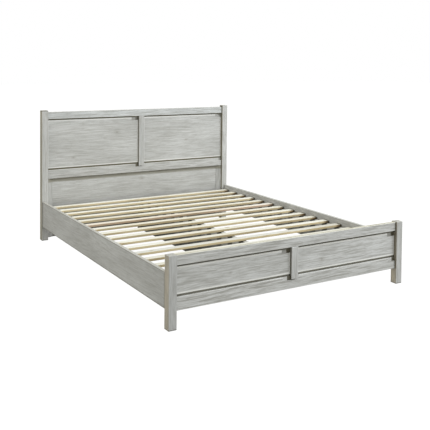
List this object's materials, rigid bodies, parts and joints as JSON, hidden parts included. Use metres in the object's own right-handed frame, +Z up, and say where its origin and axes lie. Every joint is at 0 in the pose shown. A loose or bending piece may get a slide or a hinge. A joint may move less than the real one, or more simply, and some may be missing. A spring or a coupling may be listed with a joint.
{
  "type": "wooden bed frame",
  "caption": "Queen-size slatted wooden bed frame with framed and panelled headboard and low footboard, side rails, slat ledges, cross slats and a centre support.",
  "frame": {"origin": "on the floor under the middle of the bed's outline", "axes": "+Z up, +Y from the foot end to the head end, +X to the right for someone standing at the foot and facing the headboard"},
  "size_m": [1.62, 2.15, 0.979],
  "materials": {
    "grey_washed_oak": "matt grey-washed oak, open grain",
    "natural_pine": "bare planed softwood",
    "zinc_steel": "zinc-plated"
  },
  "bodies": {
    "root": {"head_post_left": "grey_washed_oak", "head_post_right": "grey_washed_oak", "head_top_rail": "grey_washed_oak", "head_middle_rail": "grey_washed_oak", "head_center_stile": "grey_washed_oak", "head_panel_left": "grey_washed_oak", "head_panel_right": "grey_washed_oak", "head_lower_panel": "grey_washed_oak", "head_corner_block_left": "grey_washed_oak", "head_corner_block_right": "grey_washed_oak", "foot_post_left": "grey_washed_oak", "foot_post_right": "grey_washed_oak", "foot_top_rail": "grey_washed_oak", "foot_bottom_rail": "grey_washed_oak", "foot_center_stile": "grey_washed_oak", "foot_panel_left": "grey_washed_oak", "foot_panel_right": "grey_washed_oak", "side_rail_left": "grey_washed_oak", "side_rail_right": "grey_washed_oak", "center_support_board": "grey_washed_oak", "center_support_beam": "grey_washed_oak", "slat_ledge_left": "grey_washed_oak", "slat_ledge_right": "grey_washed_oak", "slat_01": "natural_pine", "slat_02": "natural_pine", "slat_03": "natural_pine", "slat_04": "natural_pine", "slat_05": "natural_pine", "slat_06": "natural_pine", "slat_07": "natural_pine", "slat_08": "natural_pine", "slat_09": "natural_pine", "slat_10": "natural_pine", "slat_11": "natural_pine", "slat_12": "natural_pine", "slat_13": "natural_pine", "slat_14": "natural_pine", "slat_15": "natural_pine", "corner_bracket_foot_left": "zinc_steel", "corner_bracket_foot_right": "zinc_steel", "corner_bracket_head_left": "zinc_steel", "corner_bracket_head_right": "zinc_steel", "rail_bolt_foot_left": "zinc_steel", "rail_bolt_foot_right": "zinc_steel", "rail_bolt_head_left": "zinc_steel", "rail_bolt_head_right": "zinc_steel", "post_bolt_foot_left": "zinc_steel", "post_bolt_foot_right": "zinc_steel", "post_bolt_head_left": "zinc_steel", "post_bolt_head_right": "zinc_steel", "center_bracket_foot": "zinc_steel", "center_bracket_head": "zinc_steel"}
  },
  "joints": []
}
